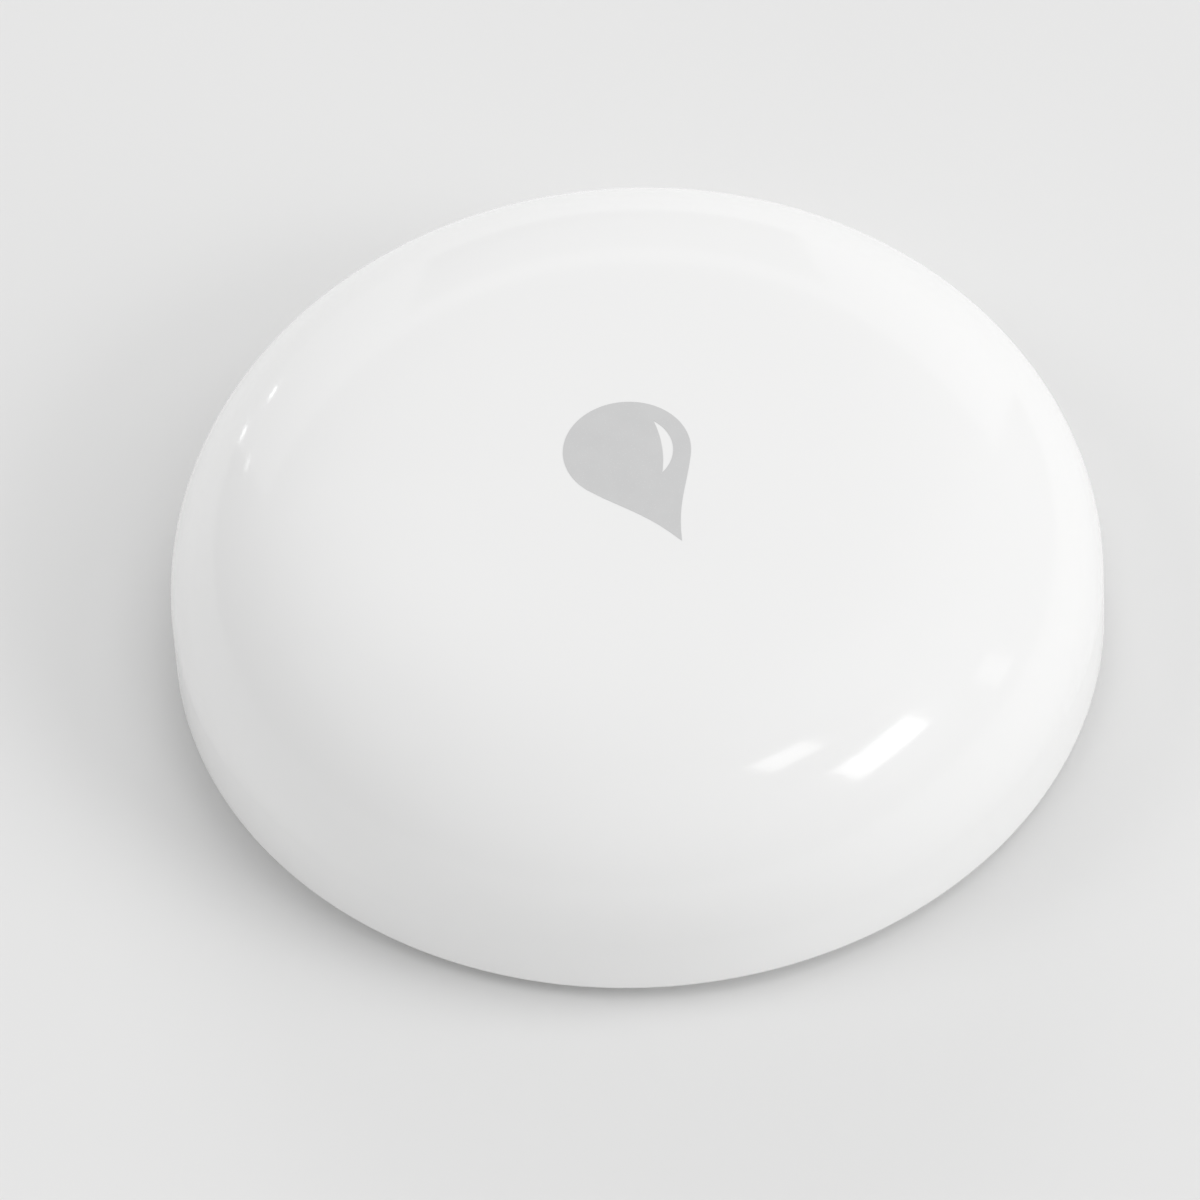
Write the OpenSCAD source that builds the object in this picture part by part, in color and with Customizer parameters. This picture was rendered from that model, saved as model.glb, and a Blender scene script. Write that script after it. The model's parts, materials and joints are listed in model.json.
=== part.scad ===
// Round water leak sensor that lies on the floor: a pressable cap over a sealed tub with a coin cell.
// Millimetres, +Z up, origin on the floor under the middle of the sensor.

/* [Cap] */
// Diameter of the cap
cap_d = 50; // [46:0.5:60]
// Height of the whole sensor above the floor
sensor_h = 15; // [13.6:0.1:20]
// Radius of the gently crowned top
crown_r = 200; // [90:5:600]
// Diameter of the crowned top
crown_d = 22; // [12:0.5:26]
// Radius of the blend between top and shoulder
blend_r = 32; // [20:1:60]
// Radius of the rounded shoulder
shoulder_r = 9.2; // [5:0.2:11]
// Wall of the cap
cap_wall = 1.6; // [1.2:0.1:2.2]
// Height of the cap's lower edge above the floor
cap_edge_z = 0.8; // [0.6:0.1:1.4]
// Rounding of the cap's lower edge
edge_round = 0.4; // [0.1:0.05:0.7]
// How far the cap goes down when it is pressed
press_travel = 0.3; // [0.1:0.05:0.4]
// Length of the boss that presses the switch
press_boss_h = 1; // [0.6:0.1:1.4]
// Diameter of that boss
press_boss_d = 4.4; // [3:0.2:6]
// Depth of the stiffening ribs under the crown
cap_rib_h = 0.9; // [0.4:0.1:1.2]
// Number of those ribs
cap_ribs = 6; // [3:1:12]
// Thickness of ribs on the cap and in the tub
rib_t = 0.8; // [0.5:0.1:1.2]
// Height of the snap hooks above the floor
hook_z = 2.2; // [2.1:0.1:2.6]
// How far each snap hook reaches inwards
hook_reach = 0.8; // [0.5:0.05:1]
// Height of each snap hook
hook_h = 0.9; // [0.6:0.1:1.2]
// Angle that each snap hook spans
hook_angle = 24; // [12:1:40]

/* [Tub] */
// Height of the feet
foot_h = 0.5; // [0.3:0.1:0.9]
// Diameter of each foot
foot_d = 5; // [3:0.2:6]
// Thickness of the tub's floor
floor_t = 1.3; // [0.9:0.1:1.8]
// Thickness of the tub's wall
tub_wall = 2.2; // [1.9:0.1:2.8]
// Width of the rim where the underside curves up
rim_w = 1.2; // [0.8:0.1:3]
// Height of that rim
rim_h = 0.3; // [0.1:0.05:0.5]
// Rounding of the edges on the underside
under_round = 0.25; // [0.1:0.05:0.4]
// Outer diameter of each screw post
post_d = 4.6; // [3.4:0.1:5]
// Thickness of the probe bosses over the seal
probe_boss_t = 1.6; // [1:0.1:2.2]

/* [Battery door] */
// Thickness of the door
door_t = 1.2; // [1:0.1:1.8]
// Width of the coin slot
slot_w = 1.8; // [1.2:0.1:2.4]
// Length of the coin slot
slot_l = 16; // [10:0.5:19]
// Depth of the coin slot
slot_depth = 0.7; // [0.4:0.1:0.9]
// Wall of the ring that carries the lugs
spigot_wall = 1.2; // [0.9:0.1:1.6]
// Thickness of the lugs
lug_t = 0.6; // [0.5:0.1:0.8]
// How far the lugs reach outwards
lug_reach = 1.2; // [0.8:0.1:1.5]
// Angle that each lug spans
lug_angle = 26; // [16:1:30]
// Angle that the door turns to open
door_turn = 45; // [40:1:50]
// Thickness of the ledge that the lugs turn over
ledge_t = 0.6; // [0.5:0.1:0.8]

/* [Coin cell] */
// Diameter of the coin cell
cell_d = 20; // [16:0.1:21.5]
// Height of the coin cell
cell_h = 3.2; // [2.5:0.1:3.6]

/* [Probes] */
// Diameter of a probe's head
probe_head_d = 4.6; // [3.6:0.1:5]
// Thickness of a probe's head
probe_head_t = 1; // [0.8:0.1:1.4]
// Diameter of a probe's shank
probe_shank_d = 2; // [1.6:0.1:2.4]
// Width of the probe nut across its flats
nut_w = 4; // [3.4:0.1:4.6]
// Thickness of the probe nut
nut_t = 1.2; // [0.8:0.1:1.6]

/* [Seals] */
// Section of the ring between cap and tub
case_ring_d = 1; // [0.8:0.05:1.1]
// Section of the ring on the door
door_ring_d = 0.7; // [0.5:0.05:0.9]
// Section of the ring under each probe's head
probe_ring_d = 0.7; // [0.5:0.05:0.9]

/* [Board] */
// Thickness of the circuit board
board_t = 1; // [0.8:0.1:1.6]
// Height of the contact springs between cell and board
contact_h = 1.9; // [1.5:0.1:2.2]
// Thickness of the sheet that the contacts are bent from
sheet_t = 0.2; // [0.15:0.05:0.3]
// Width of the contact strips
strip_w = 3; // [2:0.2:4]
// Shank diameter of the board screws
screw_d = 1.6; // [1.2:0.1:2]
// Head diameter of the board screws
screw_head_d = 3.4; // [2.6:0.1:4]
// Head height of the board screws
screw_head_h = 1.2; // [0.8:0.1:1.4]
// Length of the board screws under the head
screw_l = 5; // [3.5:0.1:5.5]

/* [Switch] */
// Width of the square switch
switch_w = 6; // [5:0.1:7]
// Height of the switch's moulded body
switch_h = 2.4; // [1.8:0.1:2.6]
// Diameter of the plunger
plunger_d = 3.4; // [2.4:0.1:3.8]

/* [Fits] */
// Gap around pieces that slide or turn in each other
fit_gap = 0.2; // [0.1:0.05:0.3]
// Gap between faces that run on each other
run_gap = 0.05; // [0.03:0.01:0.1]

/* [Hidden] */
$fn = 96;
over = 0.1;

// Threefold pattern of hooks, lugs and posts
thirds = [0, 120, 240];
post_angles = [90, 210, 330];
rib_angles = [45, 135, 225, 315];

// Cap
cap_r = cap_d / 2;
cap_ri = cap_r - cap_wall;
ceiling_z = sensor_h - cap_wall;
shoulder_x = cap_r - shoulder_r;
hook_top_z = hook_z + hook_h;
lamp_spot_d = 3;
key_w = 1.6;
key_h = 2;

// Arcs of the cap's outline; each one passes the one before it by a hair, so that they cross
hair = 0.0005;
crown_mid = [0, sensor_h - crown_r];
crown_end = asin(crown_d / 2 / crown_r);
blend_step = crown_r - blend_r + hair;
blend_mid = crown_mid + blend_step * [sin(crown_end), cos(crown_end)];
shoulder_step = blend_r - shoulder_r + hair;
blend_end = asin((shoulder_x - blend_mid[0]) / shoulder_step);
shoulder_z = blend_mid[1] + shoulder_step * cos(blend_end);

// Tub, from its floor upwards; the hooks move in a groove over its lip
floor_z = foot_h + floor_t;
lip_z = hook_z - press_travel - 2 * run_gap;
rim_r = (pow(rim_w, 2) + pow(rim_h, 2)) / (2 * rim_h);
tub_r = cap_ri - fit_gap;
tub_ri = tub_r - tub_wall;
hook_seat_r = cap_ri - hook_reach - fit_gap;
hook_seat_z = hook_top_z + run_gap;
ring_land = 0.7;
ring_seat_r = cap_ri - run_gap - case_ring_d;
ring_seat_z = hook_seat_z + ring_land;
ring_seat_top_z = ring_seat_z + case_ring_d + 2 * run_gap;
neck_r = tub_r - fit_gap;
neck_h = 1;
tub_top_z = ring_seat_top_z + neck_h;
cavity_z = tub_top_z + press_travel + fit_gap;
notch_z = tub_top_z - neck_h + 2 * run_gap;
key_z = notch_z + press_travel + run_gap;

// Battery door, from the floor upwards
door_z = foot_h;
door_top_z = door_z + door_t;
ledge_z = door_top_z + door_ring_d + run_gap;
ledge_top_z = ledge_z + ledge_t;
lug_z = ledge_top_z + run_gap;
lug_top_z = lug_z + lug_t;
cell_r = cell_d / 2;
spigot_ri = cell_r + 2 * fit_gap;
spigot_r = spigot_ri + spigot_wall;
ledge_ri = spigot_r + fit_gap;
lug_r = ledge_ri + lug_reach;
gate_r = lug_r + fit_gap / 2;
chamber_r = lug_r + fit_gap;
door_rim = 0.6;
door_r = lug_r + door_rim;
door_recess_r = door_r + fit_gap;
collar_wall = 1.1;
collar_r = door_recess_r + collar_wall;
collar_top_z = lug_top_z + 2 * fit_gap;
stop_ri = ledge_ri + fit_gap;
stop_angle = 5;
turn_gap = 2;

// Coin cell, which lies on a low rim of the door
cell_rim_h = 0.4;
cell_rim_w = 1;
cell_z = door_top_z + cell_rim_h;
cell_top_z = cell_z + cell_h;
cell_bevel = 0.3;
lid_rise = 0.3;
crimp_z = cell_top_z - lid_rise;
crimp_w = 0.6;
gasket_w = 0.5;
gasket_h = 0.5;
lid_r = cell_r - crimp_w - gasket_w;

// Board, holder and contacts
board_z = cell_top_z + contact_h;
board_top_z = board_z + board_t;
board_r = tub_ri - 2 * fit_gap;
board_notch_r = 1;
holder_ri = cell_r + fit_gap;
holder_wall = 1.3;
holder_r = holder_ri + holder_wall;
holder_z = lug_top_z + 2 * fit_gap;
peg_d = 1.2;
peg_x = holder_ri + holder_wall / 2;
peg_angles = [60, 240];
plus_angle = 150;
plus_touch_z = (lug_top_z + crimp_z) / 2;
plus_tip = 0.25;
plus_pad = 1.4;
minus_reach = 5;
minus_tip = 0.4;
window_w = strip_w + 4 * fit_gap;

// Probes and posts stand midway between the collar and the tub's wall
ring_x = (collar_r + tub_ri) / 2;
probe_seat_z = probe_head_t + probe_ring_d + run_gap;
probe_boss_z = probe_seat_z + probe_boss_t;
probe_end_z = probe_boss_z + nut_t + 3 * fit_gap;
probe_recess_d = probe_head_d + 4 * fit_gap;
probe_boss_wall = 1;
probe_boss_d = probe_recess_d + 2 * probe_boss_wall;
spring_reach = 1.6;
spring_w = 2;

// Switch, whose plunger fills the room under the cap's boss
cover_t = 0.25;
rivet_d = 0.9;
leg_w = 0.7;
leg_rise = 1;
leg_z = board_top_z + leg_rise;
leg_reach = 2;
switch_top_z = board_top_z + switch_h;
plunger_top_z = ceiling_z - press_boss_h - run_gap;
flange_reach = 0.5;
flange_d = plunger_d + 2 * flange_reach;
flange_t = 0.6;
flange_top_z = switch_top_z - run_gap;
well_d = flange_d + 2 * fit_gap;
well_floor = 0.5;
well_z = board_top_z + well_floor;
dome_d = flange_d;
dome_t = 0.1;
dome_h = 0.5;
dome_r = (pow(dome_d / 2, 2) + pow(dome_h, 2)) / (2 * dome_h);
nub_d = 1.6;
nub_z = well_z + dome_h + run_gap;

// Small parts on the board: their sizes, and how far from its middle they stand
radio_size = [6, 6, 0.9];
memory_size = [4, 3, 0.8];
crystal_size = [3.2, 2.5, 0.8];
antenna_size = [7, 2, 1];
lamp_size = [2, 1.4, 0.5];
lens_d = 1.2;
lens_h = 0.3;
capacitor_size = [0.8, 1.6, 0.8];
resistor_size = [0.8, 1.6, 0.5];
dimple_d = 0.6;
lamp_x = 8.5;
radio_x = 9.6;
memory_x = 9.5;
crystal_x = 11;
antenna_inset = 4.2;
capacitor_x = 14.6;
resistor_x = 12.6;
lamp_at = polar(lamp_x, 300);
radio_at = polar(radio_x, 186);
memory_at = polar(memory_x, 342);
crystal_at = polar(crystal_x, 150);
antenna_at = polar(board_r - antenna_inset, 61);
capacitor_at = [for (a = [172, 186, 122, 42, 28, 252]) polar(capacitor_x, a)];
resistor_at = [for (a = [318, 332, 8, 136, 108, 226]) polar(resistor_x, a)];

function polar(r, a) = [r * cos(a), r * sin(a)];

// Part of a disc above the foot of the cap's shoulder, from the axis out to x
module arc_part(mid, r, x) {
    intersection() {
        translate(mid) circle(r, $fn = 360);
        translate([0, shoulder_z - over]) square([x, sensor_h]);
    }
}

// Part of the cap's section that lies inside its outer surface by the given inset
module cap_section(inset) {
    arc_part(crown_mid, crown_r - inset, blend_mid[0] + (blend_r - inset) * sin(crown_end));
    arc_part(blend_mid, blend_r - inset, shoulder_x + (shoulder_r - inset) * sin(blend_end));
    arc_part([shoulder_x, shoulder_z], shoulder_r - inset, cap_d);
    // Straight side
    translate([0, cap_edge_z]) square([cap_r - inset, shoulder_z - cap_edge_z]);
}

// Waste outside a rounded corner; inward points from the corner into the solid
module corner_waste(corner, inward, r) {
    translate(corner) difference() {
        translate([inward[0] > 0 ? -over : -r, inward[1] > 0 ? -over : -r]) square(r + over);
        translate(inward * r) circle(r, $fn = 48);
    }
}

// Block bent around the axis between two radii, two heights and two angles
module arc_block(r_in, r_out, z_low, z_high, from, to) {
    rotate([0, 0, from]) rotate_extrude(angle = to - from)
        translate([r_in, z_low]) square([r_out - r_in, z_high - z_low]);
}

// Ring seal of round section, lying on the given height
module o_ring(inner_r, z, section_d) {
    translate([0, 0, z + section_d / 2]) rotate_extrude()
        translate([inner_r + section_d / 2, 0]) circle(d = section_d, $fn = 48);
}

// Straight run of sheet between two points, with round ends
module strip_run(a, b) {
    run = b - a;
    translate(a) rotate(atan2(run[1], run[0])) translate([0, -sheet_t / 2]) square([norm(run), sheet_t]);
    translate(a) circle(d = sheet_t, $fn = 24);
    translate(b) circle(d = sheet_t, $fn = 24);
}

// Bent strip through a list of points in the X-Z plane
module bent_strip(points, width) {
    rotate([90, 0, 0]) translate([0, 0, -width / 2]) linear_extrude(width)
        for (i = [0 : len(points) - 2]) strip_run(points[i], points[i + 1]);
}

// Small block that stands on the board
module chip(at, size) {
    translate([at[0] - size[0] / 2, at[1] - size[1] / 2, board_top_z]) cube(size);
}

// Chip with a round dimple at its first corner
module marked_chip(at, size) {
    difference() {
        chip(at, size);
        translate([at[0] - size[0] / 2 + dimple_d, at[1] + size[1] / 2 - dimple_d, board_top_z + size[2]])
            translate([0, 0, -over]) cylinder(d = dimple_d, h = 2 * over, $fn = 24);
    }
}

module top_shell() {
    color("#f4f4f2") {
        difference() {
            rotate_extrude() difference() {
                cap_section(0);
                cap_section(cap_wall);
                // Straight wall that slides on the tub
                translate([0, cap_edge_z - over]) square([cap_ri, cavity_z - cap_edge_z + over]);
                corner_waste([cap_r, cap_edge_z], [-1, 1], edge_round);
            }
            // Thin spot that the lamp shines through
            translate([lamp_at[0], lamp_at[1], ceiling_z - cap_wall])
                cylinder(d = lamp_spot_d, h = 1.5 * cap_wall);
        }
        // Boss over the switch
        translate([0, 0, ceiling_z - press_boss_h])
            cylinder(d = press_boss_d, h = press_boss_h + cap_wall / 2);
        // Ribs from the boss to the shoulder
        for (i = [0 : cap_ribs - 1]) rotate([0, 0, (i + 0.5) * 360 / cap_ribs]) intersection() {
            translate([press_boss_d / 2 - over, -rib_t / 2, ceiling_z - cap_rib_h])
                cube([shoulder_x - press_boss_d / 2, rib_t, cap_rib_h + cap_wall / 2]);
            rotate_extrude() cap_section(cap_wall / 2);
        }
        // Snap hooks, ramped below
        for (a = thirds) rotate([0, 0, a - hook_angle / 2]) rotate_extrude(angle = hook_angle)
            polygon([[cap_ri + over, hook_top_z], [cap_ri - hook_reach, hook_top_z],
                [cap_ri - hook_reach, hook_z + hook_h / 2], [cap_ri, hook_z], [cap_ri + over, hook_z]]);
        // Key that keeps the cap from turning
        rotate([0, 0, 90]) intersection() {
            translate([tub_ri, -key_w / 2, key_z]) cube([cap_r - tub_ri, key_w, key_h]);
            rotate_extrude() cap_section(cap_wall / 2);
        }
    }
}

// Room that the battery door takes in the tub: recess, throat and chamber of the lugs
module door_room() {
    rotate_extrude() {
        translate([0, foot_h - over]) square([door_recess_r, ledge_z - foot_h + over]);
        translate([0, ledge_z - over]) square([ledge_ri, collar_top_z - ledge_z + 2 * over]);
        translate([0, ledge_top_z]) square([chamber_r, collar_top_z - ledge_top_z + over]);
    }
}

// Posts, probe bosses and ribs that stand on the tub's floor
module tub_inside() {
    intersection() {
        union() {
            for (a = post_angles) rotate([0, 0, a]) translate([ring_x, 0, foot_h + over])
                cylinder(d = post_d, h = board_z - foot_h - over);
            for (side = [-1, 1]) translate([side * ring_x, 0, foot_h + over])
                cylinder(d = probe_boss_d, h = probe_boss_z - foot_h - over);
            for (a = rib_angles) rotate([0, 0, a]) translate([collar_r - over, -rib_t / 2, foot_h + over])
                cube([tub_ri - collar_r + 2 * over, rib_t, ledge_top_z - foot_h - over]);
        }
        cylinder(r = tub_ri + over, h = board_z);
    }
}

module base_shell() {
    color("#ececea") {
        difference() {
            union() {
                rotate_extrude() difference() {
                    union() {
                        // Floor with its lip, and the wall inside the cap
                        polygon([[0, foot_h], [tub_r, foot_h], [tub_r, lip_z], [hook_seat_r, lip_z],
                            [hook_seat_r, hook_seat_z], [tub_r, hook_seat_z], [tub_r, ring_seat_top_z],
                            [neck_r, ring_seat_top_z], [neck_r, tub_top_z], [tub_ri, tub_top_z],
                            [tub_ri, floor_z], [0, floor_z]]);
                        // Collar around the door
                        translate([0, foot_h]) square([collar_r, collar_top_z - foot_h]);
                    }
                    // Seat of the case ring
                    translate([ring_seat_r, ring_seat_z]) square([cap_r, ring_seat_top_z - ring_seat_z]);
                    // Rim where the underside curves up
                    translate([tub_r - rim_w, foot_h]) difference() {
                        translate([0, -over]) square([rim_w + over, lip_z - foot_h]);
                        translate([0, rim_r]) circle(rim_r);
                    }
                    corner_waste([door_recess_r, foot_h], [1, 1], under_round);
                }
                tub_inside();
                // Feet in front and behind, level with the probes
                for (side = [-1, 1]) translate([0, side * ring_x, 0]) rotate_extrude() difference() {
                    square([foot_d / 2, foot_h + over]);
                    corner_waste([foot_d / 2, 0], [-1, 1], under_round);
                }
            }
            door_room();
            // Gates in the ledge that the lugs pass when the door is open
            for (a = thirds) arc_block(ledge_ri - over, gate_r, ledge_z - over, ledge_top_z + over,
                a - door_turn - lug_angle / 2 - turn_gap / 2, a - door_turn + lug_angle / 2 + turn_gap / 2);
            // Pilot holes of the board screws
            for (a = post_angles) rotate([0, 0, a]) translate([ring_x, 0, board_top_z - screw_l - fit_gap])
                cylinder(d = screw_d + 2 * run_gap, h = screw_l, $fn = 48);
            // Recess, seal seat and hole of each probe
            for (side = [-1, 1]) translate([side * ring_x, 0, 0]) {
                cylinder(d = probe_recess_d, h = probe_seat_z);
                cylinder(d = probe_shank_d + fit_gap, h = probe_boss_z + over, $fn = 48);
                rotate_extrude() corner_waste([probe_recess_d / 2, foot_h], [1, 1], under_round);
            }
            // Notch for the cap's key
            rotate([0, 0, 90]) translate([tub_ri - over, -key_w / 2 - fit_gap, notch_z])
                cube([tub_wall + over, key_w + 2 * fit_gap, neck_h]);
        }
        // Stops at both ends of the lugs' turn
        shut_edge = lug_angle / 2 + turn_gap;
        open_edge = -door_turn - lug_angle / 2 - turn_gap - stop_angle;
        for (a = thirds, edge = [shut_edge, open_edge]) rotate([0, 0, a])
            arc_block(stop_ri, chamber_r + over, ledge_top_z - over, lug_top_z, edge, edge + stop_angle);
    }
}

module case_o_ring() {
    color("#303234") o_ring(ring_seat_r, ring_seat_z + run_gap, case_ring_d);
}

module battery_door() {
    color("#e6e6e4") difference() {
        union() {
            rotate_extrude() {
                // Disc with a rounded rim
                difference() {
                    translate([0, door_z]) square([door_r, door_t]);
                    corner_waste([door_r, door_z], [-1, 1], under_round);
                }
                // Ring that carries the lugs
                translate([spigot_ri, door_z + over]) square([spigot_wall, lug_top_z - door_z - over]);
                // Rim that the cell lies on
                translate([lid_r - cell_rim_w, door_z + over]) square([cell_rim_w, cell_z - door_z - over]);
            }
            for (a = thirds)
                arc_block(spigot_r - over, lug_r, lug_z, lug_top_z, a - lug_angle / 2, a + lug_angle / 2);
        }
        // Coin slot with round ends
        translate([0, 0, door_z - over]) {
            translate([-(slot_l - slot_w) / 2, -slot_w / 2, 0])
                cube([slot_l - slot_w, slot_w, slot_depth + over]);
            for (side = [-1, 1]) translate([side * (slot_l - slot_w) / 2, 0, 0])
                cylinder(d = slot_w, h = slot_depth + over, $fn = 48);
        }
    }
}

module door_o_ring() {
    color("#303234") o_ring(spigot_r + run_gap, door_top_z, door_ring_d);
}

// Stud with a flat, rounded head that stands on the floor
module probe(side) {
    head_r = probe_head_d / 2;
    color("#c9a968") translate([side * ring_x, 0, 0]) rotate_extrude() difference() {
        union() {
            square([head_r, probe_head_t]);
            square([probe_shank_d / 2, probe_end_z]);
        }
        corner_waste([head_r, 0], [-1, 1], under_round);
    }
}

module probe_left() {
    probe(-1);
}

module probe_right() {
    probe(1);
}

module probe_o_rings() {
    color("#303234") for (side = [-1, 1]) translate([side * ring_x, 0, 0])
        o_ring(probe_shank_d / 2 + run_gap, probe_head_t, probe_ring_d);
}

module probe_nuts() {
    color("#d0d0cc") for (side = [-1, 1]) translate([side * ring_x, 0, probe_boss_z]) difference() {
        cylinder(d = nut_w / cos(30), h = nut_t, $fn = 6);
        translate([0, 0, -over]) cylinder(d = probe_shank_d + run_gap, h = nut_t + 2 * over, $fn = 48);
    }
}

module probe_springs() {
    top = board_z - sheet_t / 2;
    low = probe_end_z + sheet_t / 2;
    mid = (top + low) / 2;
    half = spring_reach / 2;
    color("#d8b878") for (side = [-1, 1]) translate([side * ring_x, 0, 0]) rotate([0, 0, 90])
        bent_strip([[-spring_reach, top], [half, top], [spring_reach, mid], [half, low], [-half, low]],
            spring_w);
}

module battery_can() {
    color("#cfd2d4") rotate_extrude() difference() {
        polygon([[0, cell_z], [cell_r - cell_bevel, cell_z], [cell_r, cell_z + cell_bevel],
            [cell_r, crimp_z - cell_bevel], [cell_r - cell_bevel, crimp_z], [0, crimp_z]]);
        translate([0, crimp_z - gasket_h]) square([lid_r + gasket_w, gasket_h + over]);
    }
}

module battery_lid() {
    color("#dadcdd") rotate_extrude()
        polygon([[0, crimp_z - gasket_h], [lid_r, crimp_z - gasket_h], [lid_r, cell_top_z - cell_bevel],
            [lid_r - cell_bevel, cell_top_z], [0, cell_top_z]]);
}

module battery_gasket() {
    color("#3a3d40") rotate_extrude() translate([lid_r, crimp_z - gasket_h]) square([gasket_w, gasket_h]);
}

module battery_holder() {
    color("#26282a") difference() {
        union() {
            rotate_extrude() translate([holder_ri, holder_z]) square([holder_wall, board_z - holder_z]);
            for (a = peg_angles) rotate([0, 0, a]) translate([peg_x, 0, board_z - over])
                cylinder(d = peg_d, h = board_t + over, $fn = 48);
        }
        // Window of the side contact
        rotate([0, 0, plus_angle]) translate([holder_ri - holder_wall, -window_w / 2, holder_z - over])
            cube([3 * holder_wall, window_w, board_z - holder_z + 2 * over]);
    }
}

module plus_contact() {
    top = board_z - sheet_t / 2;
    touch_x = cell_r + sheet_t / 2 + run_gap;
    color("#d4d6d2") rotate([0, 0, plus_angle])
        bent_strip([[holder_r + plus_pad, top], [holder_r - sheet_t, top], [touch_x, plus_touch_z],
            [touch_x + plus_tip, plus_touch_z - plus_tip]], strip_w);
}

module minus_contact() {
    top = board_z - sheet_t / 2;
    low = cell_top_z + sheet_t / 2;
    color("#d4d6d2") bent_strip([[-minus_reach, top], [-minus_reach / 3, top],
        [minus_reach - 4 * minus_tip, low], [minus_reach, low + minus_tip]], strip_w);
}

module main_board() {
    color("#1f6b45") translate([0, 0, board_z]) difference() {
        cylinder(r = board_r, h = board_t, $fn = 180);
        for (a = post_angles) rotate([0, 0, a]) translate([ring_x, 0, -over])
            cylinder(d = screw_d + 2 * fit_gap, h = board_t + 2 * over, $fn = 48);
        for (a = peg_angles) rotate([0, 0, a]) translate([peg_x, 0, -over])
            cylinder(d = peg_d + run_gap, h = board_t + 2 * over, $fn = 48);
        // Half-round notch in the edge
        translate([0, -board_r, -over]) cylinder(r = board_notch_r, h = board_t + 2 * over, $fn = 48);
    }
}

module board_screws() {
    drive_w = 0.5;
    drive_l = 2 * screw_head_d / 3;
    color("#b8babc") for (a = post_angles) rotate([0, 0, a])
        translate([ring_x, 0, board_top_z]) difference() {
        union() {
            cylinder(d = screw_head_d, h = screw_head_h, $fn = 64);
            translate([0, 0, -screw_l]) cylinder(d = screw_d, h = screw_l + over, $fn = 48);
        }
        // Crossed drive slots
        for (turn = [0, 90]) rotate([0, 0, turn]) translate([-drive_l / 2, -drive_w / 2, screw_head_h / 2])
            cube([drive_l, drive_w, screw_head_h]);
    }
}

module switch_body() {
    color("#1e1f21") difference() {
        translate([-switch_w / 2, -switch_w / 2, board_top_z]) cube([switch_w, switch_w, switch_h]);
        translate([0, 0, well_z]) cylinder(d = well_d, h = switch_h);
    }
}

module switch_cover() {
    rivet_at = switch_w / 2 - rivet_d;
    color("#c4c6c8") {
        difference() {
            translate([-switch_w / 2, -switch_w / 2, switch_top_z]) cube([switch_w, switch_w, cover_t]);
            translate([0, 0, switch_top_z - over])
                cylinder(d = plunger_d + 2 * fit_gap, h = cover_t + 2 * over);
        }
        for (x = [-1, 1], y = [-1, 1]) translate([x * rivet_at, y * rivet_at, switch_top_z + cover_t / 2])
            cylinder(d = rivet_d, h = cover_t, $fn = 32);
    }
}

module switch_legs() {
    low = board_top_z + sheet_t / 2;
    start = switch_w / 2 + sheet_t / 2;
    knee = start + leg_reach / 2;
    color("#c4c6c8") for (side = [0, 180], y = [-1, 1]) rotate([0, 0, side])
        translate([0, y * (switch_w / 2 - rivet_d), 0])
            bent_strip([[start, leg_z], [knee - leg_w / 4, leg_z], [knee, low], [start + leg_reach, low]],
                leg_w);
}

module switch_dome() {
    color("#d8dadc") translate([0, 0, well_z + dome_h - dome_r]) rotate_extrude() intersection() {
        difference() {
            circle(dome_r, $fn = 180);
            circle(dome_r - dome_t, $fn = 180);
        }
        translate([0, dome_r - dome_h]) square([dome_d / 2, dome_h]);
    }
}

module switch_plunger() {
    color("#2b2d30") {
        translate([0, 0, nub_z]) cylinder(d = nub_d, h = flange_top_z - nub_z);
        translate([0, 0, flange_top_z - flange_t]) cylinder(d = flange_d, h = flange_t);
        translate([0, 0, flange_top_z - over])
            cylinder(d = plunger_d, h = plunger_top_z - flange_top_z + over);
    }
}

module radio_chip() {
    color("#232527") marked_chip(radio_at, radio_size);
}

module memory_chip() {
    color("#232527") marked_chip(memory_at, memory_size);
}

module crystal() {
    color("#c8cacc") chip(crystal_at, crystal_size);
}

module chip_antenna() {
    color("#e8e4d8") chip(antenna_at, antenna_size);
}

module indicator_led() {
    color("#f0ead0") {
        chip(lamp_at, lamp_size);
        translate([lamp_at[0], lamp_at[1], board_top_z + lamp_size[2] - over])
            cylinder(d = lens_d, h = lens_h + over, $fn = 48);
    }
}

module capacitors() {
    color("#b8976a") for (at = capacitor_at) chip(at, capacitor_size);
}

module resistors() {
    color("#2c2e31") for (at = resistor_at) chip(at, resistor_size);
}

top_shell();
base_shell();
case_o_ring();
battery_door();
door_o_ring();
probe_left();
probe_right();
probe_o_rings();
probe_nuts();
probe_springs();
battery_can();
battery_lid();
battery_gasket();
battery_holder();
plus_contact();
minus_contact();
main_board();
board_screws();
switch_body();
switch_cover();
switch_legs();
switch_dome();
switch_plunger();
radio_chip();
memory_chip();
crystal();
chip_antenna();
indicator_led();
capacitors();
resistors();
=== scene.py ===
import json
from math import acos, cos, hypot, pi, radians, sin, sqrt, tan

import bmesh
import bpy
from mathutils import Matrix, Vector


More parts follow.
